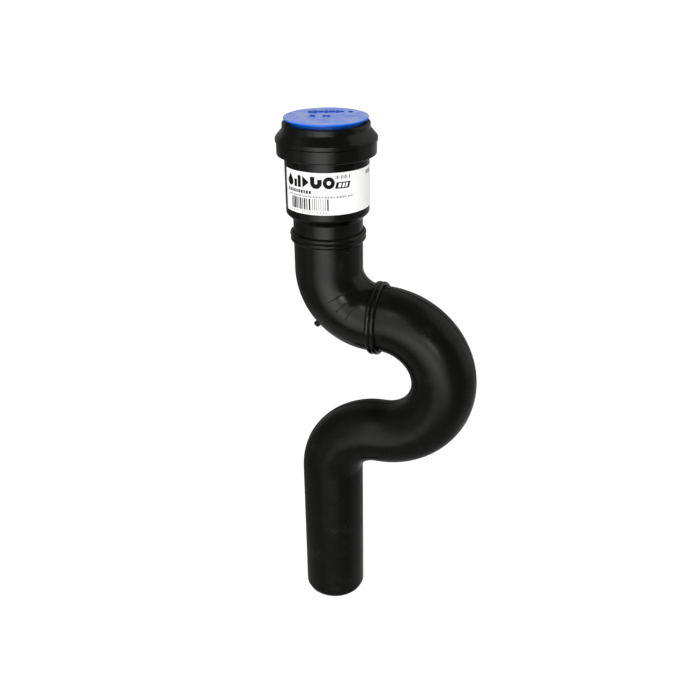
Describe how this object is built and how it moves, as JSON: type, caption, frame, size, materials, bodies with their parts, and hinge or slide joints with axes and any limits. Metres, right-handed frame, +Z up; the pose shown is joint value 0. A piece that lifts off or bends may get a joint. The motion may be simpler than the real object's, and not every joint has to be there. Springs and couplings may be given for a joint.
{
  "type": "drain trap",
  "caption": "In-line black waste-pipe trap with a sideways U bend, a ring-seal inlet socket closed by a lift-out blue plug, and a plain outlet spigot.",
  "frame": {"origin": "centre of the outlet spigot's end face, where the fitting is pushed into the drain that holds it", "axes": "+Z up along the common axis of the spigot and the inlet socket; +X towards the U bend; every bend lies in the XZ plane"},
  "size_m": [0.1531, 0.073, 0.4125],
  "materials": {
    "black_polyethylene": "satin",
    "seal_rubber": "matte",
    "blue_plug_plastic": "satin",
    "label_paper": "matte"
  },
  "bodies": {
    "fitting": {"trap_bend": "black_polyethylene", "inlet_elbow": "black_polyethylene", "socket_body": "black_polyethylene", "seal_retaining_cap": "black_polyethylene", "socket_weld": "black_polyethylene", "trap_weld": "black_polyethylene", "lip_seal": "seal_rubber", "label": "label_paper"},
    "plug": {"protective_plug": "blue_plug_plastic"}
  },
  "joints": [
    {"name": "plug_pull", "type": "slide", "parent": "fitting", "child": "plug", "axis": [0, 0, 1], "range_m": [0, 0.05]}
  ]
}
